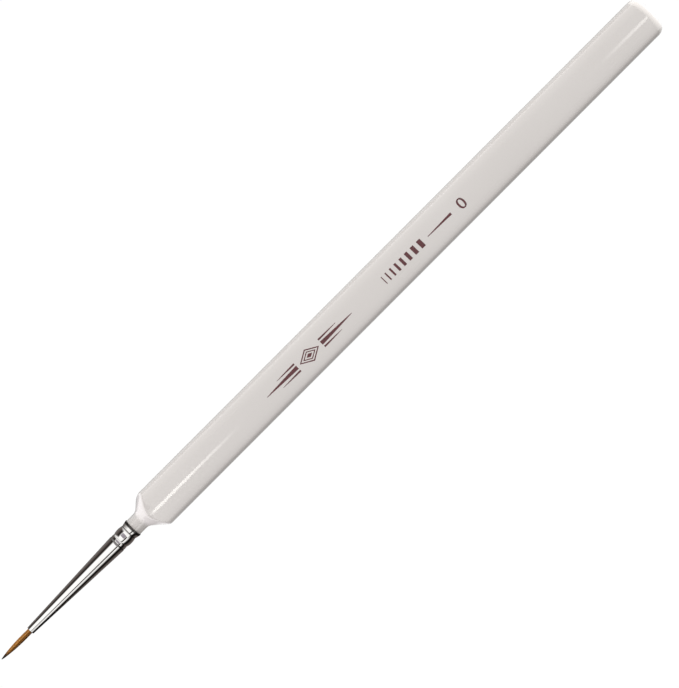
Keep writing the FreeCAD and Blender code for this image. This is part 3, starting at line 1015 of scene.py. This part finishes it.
def build_world():
    """White to the camera, the SKY profile in reflections, a soft fill to everything else."""
    world = bpy.data.worlds.new("studio")
    scene.world = world
    net = Net(world)
    world.cycles.sampling_method = "NONE"
    rays = net.add("LightPath").outputs
    x, y, z = net.position("Generated")
    angle = net.math("ARCTAN2", z, net.math("MULTIPLY", y, -1.0))
    sky = net.profile(net.math("DEGREES", angle), SKY)
    # both ends are open and bright
    ends = net.remap(net.math("ABSOLUTE", net.math("ADD", x, 0.12)), span=(0.22, 0.50),
                     smooth=True)
    mirrored = net.background(net.mix(ends, sky, (1.15, 1.15, 1.15)))
    fill = net.background((1.0, 0.99, 0.975), strength=0.38)
    unseen = net.mix_shader(rays["Is Glossy Ray"], fill, mirrored)
    white = net.background((1.0, 1.0, 1.0))
    net.output(net.mix_shader(rays["Is Camera Ray"], unseen, white), kind="OutputWorld")


build_world()


# ---------------------------------------------------------------- lights
def around(degrees):
    """A place 1 m from the origin, across the brush: 0 in front, 90 overhead."""
    angle = math.radians(degrees)
    return (0.0, -math.cos(angle), math.sin(angle))


def area(name, size, location, power, colour):
    """A soft box aimed at the origin, unseen in reflections."""
    data = bpy.data.lights.new(name, "AREA")
    data.shape = "RECTANGLE"
    data.size, data.size_y = size
    data.energy = power
    data.color = colour
    ob = bpy.data.objects.new(name, data)
    scene.collection.objects.link(ob)
    ob.location = location
    ob.rotation_euler = (-Vector(location)).to_track_quat("-Z", "Y").to_euler()
    ob.visible_glossy = False


area("soft_key", size=(0.55, 0.40), location=around(82), power=4.56,
     colour=(1.0, 0.985, 0.97))
area("soft_back", size=(0.7, 0.35), location=around(144), power=2.30,
     colour=(0.73, 0.87, 1.0))
area("soft_end_tip", size=(0.5, 0.20), location=(-1.1, -0.15, 0.105), power=7.3,
     colour=(0.925, 0.91, 1.0))
area("soft_end_tail", size=(0.5, 0.22), location=(1.1, -0.02, 0.12), power=8.8,
     colour=(1.0, 0.99, 0.985))

# ---------------------------------------------------------------- camera
# The camera looks from the front and above, rolled so that the tail points up and right.
CAM_ELEV, CAM_TILT = 40.0, 6.0      # degrees above the front, and round towards the tail
CAM_DIST = 5.0
SENSOR = 36.0
# right + up*j from the middle of the frame, as shares of its width
TIP_IN_FRAME = complex(-0.49773196, -0.46471281)
TAIL_IN_FRAME = complex(0.45677467, 0.49153166)


def build_camera():
    """Finds the roll, lens and shift that put the tip and the tail at their frame places."""
    elev, tilt = math.radians(CAM_ELEV), math.radians(CAM_TILT)
    toward = Vector((math.sin(tilt), -math.cos(tilt) * math.cos(elev),
                     math.cos(tilt) * math.sin(elev)))
    level = (Vector((1, 0, 0)) - toward * toward.x).normalized()
    across = toward.cross(level)

    def seen(x):
        """A point of the axis in the unrolled view plane, and its depth."""
        point = Vector((x, 0, AXIS_Z))
        return complex(point.dot(level), point.dot(across)), CAM_DIST - point.dot(toward)

    tip, tip_depth = seen(TIP_X)
    tail, tail_depth = seen(TAIL_X)
    tip_spread, tail_spread = TIP_IN_FRAME * tip_depth, TAIL_IN_FRAME * tail_depth
    # one complex factor holds both the zoom and the roll
    factor = (tail_spread - tip_spread) / (tail - tip)
    zoom = abs(factor)
    roll = factor / zoom
    shift = tip * roll - tip_spread / zoom
    right = level * roll.real - across * roll.imag
    up = level * roll.imag + across * roll.real
    location = right * shift.real + up * shift.imag + toward * CAM_DIST

    data = bpy.data.cameras.new("photo_camera")
    data.sensor_fit = "HORIZONTAL"
    data.sensor_width = SENSOR
    data.lens = SENSOR * zoom
    data.clip_start, data.clip_end = 0.01, 20
    ob = bpy.data.objects.new("photo_camera", data)
    scene.collection.objects.link(ob)
    rows = [(right[i], up[i], toward[i], location[i]) for i in range(3)]
    ob.matrix_world = Matrix((*rows, (0, 0, 0, 1)))
    scene.camera = ob


build_camera()

# ---------------------------------------------------------------- cards seen in reflections
# the low angle at which the printed facet mirrors the strip lamp to the camera
STRIP_LOW = math.radians(2 * 30.0 - CAM_ELEV - 0.14)
STRIP_REACH = 0.150
STRIP_POWER = 5.7
# (station, brightness) and (station, half width in cm) along the strip lamp
STRIP_GLOW = [
    (40.0, 0.0), (42.2, 0.0), (43.0, 1.0), (53.0, 1.0), (58.0, 0.66), (62.0, 0.46),
    (66.0, 0.17), (70.0, 0.0), (173.0, 0.0), (178.0, 0.05), (182.0, 0.24), (187.0, 0.50),
    (190.0, 0.60)]
STRIP_HALF = [(40.0, 0.20), (52.0, 0.19), (70.0, 0.16), (150.0, 0.20), (190.0, 0.20)]


def only_in_reflections(ob):
    for ray in ("camera", "diffuse", "shadow", "transmission", "volume_scatter"):
        setattr(ob, "visible_" + ray, False)


def highlight_strip():
    """A narrow lamp low in front: it draws a thin line of light down the printed facet."""
    material, net = new_material("stage_strip")
    x, _, z = net.position()
    y_centre = (-math.cos(FACET_ELEV) * FACET_R * MM
                - STRIP_REACH * math.cos(STRIP_LOW))
    z_centre = (AXIS_Z + math.sin(FACET_ELEV) * FACET_R * MM
                + STRIP_REACH * math.sin(STRIP_LOW))
    # the camera's tilt moves the mirrored place along the brush
    drift = math.tan(math.radians(CAM_TILT)) * STRIP_REACH
    station = net.station(net.math("ADD", x, drift))
    glow = net.profile(station, STRIP_GLOW)
    rise = net.math("SUBTRACT", z, z_centre)
    away = net.math("ABSOLUTE", net.math("MULTIPLY", rise, 1000.0 / math.cos(STRIP_LOW)))
    half_mm = net.math("MULTIPLY", net.profile(station, STRIP_HALF), 10.0)
    # soft edges across the strip
    share = net.math("SMOOTH_MIN", 1.0, net.math("DIVIDE", away, half_mm), 0.15)
    body = net.remap(net.math("SUBTRACT", 1.0, share), span=(0.0, 0.22), smooth=True)
    lit = net.math("MULTIPLY", glow, body)
    lamp = net.emission((1.0, 0.995, 0.96), strength=STRIP_POWER)
    net.output(net.mix_shader(lit, net.add("BsdfTransparent").outputs[0], lamp))
    material.cycles.emission_sampling = "FRONT_BACK"
    only_in_reflections(plane(
        "stage_highlight_strip", size=(0.30, 0.012), centre=(0.0, y_centre, z_centre),
        normal=(0, math.cos(STRIP_LOW), -math.sin(STRIP_LOW)), material=material))


def glossy_card(name, start, end, elev, wide, reach, dark, pale):
    """A card from x start to end, elev degrees above the front and wide degrees across."""
    material, net = new_material(name)
    grain = net.noise(net.coords(), scale=60, detail=2, rough=0.5)
    net.output(net.emission(net.mix(net.remap(grain, span=(0.3, 0.7)), dark, pale)))
    material.cycles.emission_sampling = "NONE"
    angle = math.radians(elev)
    # angles are taken about a line a little in front of the axis and above it
    centre = ((start + end) / 2, -math.cos(angle) * reach - 0.0014,
              AXIS_Z + math.sin(angle) * reach + 0.0007)
    size = (end - start, 2 * reach * math.tan(math.radians(wide / 2)))
    only_in_reflections(plane(name, size, centre, (0, math.cos(angle), -math.sin(angle)),
                              material))


highlight_strip()
# the fine dark line down the bright side of the tube
glossy_card("stage_line_flag", start=TIP_X - 0.015, end=RIM_X + 0.0005, elev=14.3, wide=15.5,
            reach=0.030, dark=(0.040, 0.034, 0.031), pale=(0.055, 0.047, 0.043))
# the grey patch in the middle of the bead
glossy_card("stage_bead_card", start=RIM_X - 0.0096, end=RIM_X + 0.0022, elev=54.0, wide=60.0,
            reach=0.029, dark=(0.36, 0.33, 0.37), pale=(0.46, 0.43, 0.48))

scene.view_settings.view_transform = "Standard"
scene.view_settings.look = "None"
scene.view_settings.exposure = 0.0
scene.view_settings.gamma = 1.0
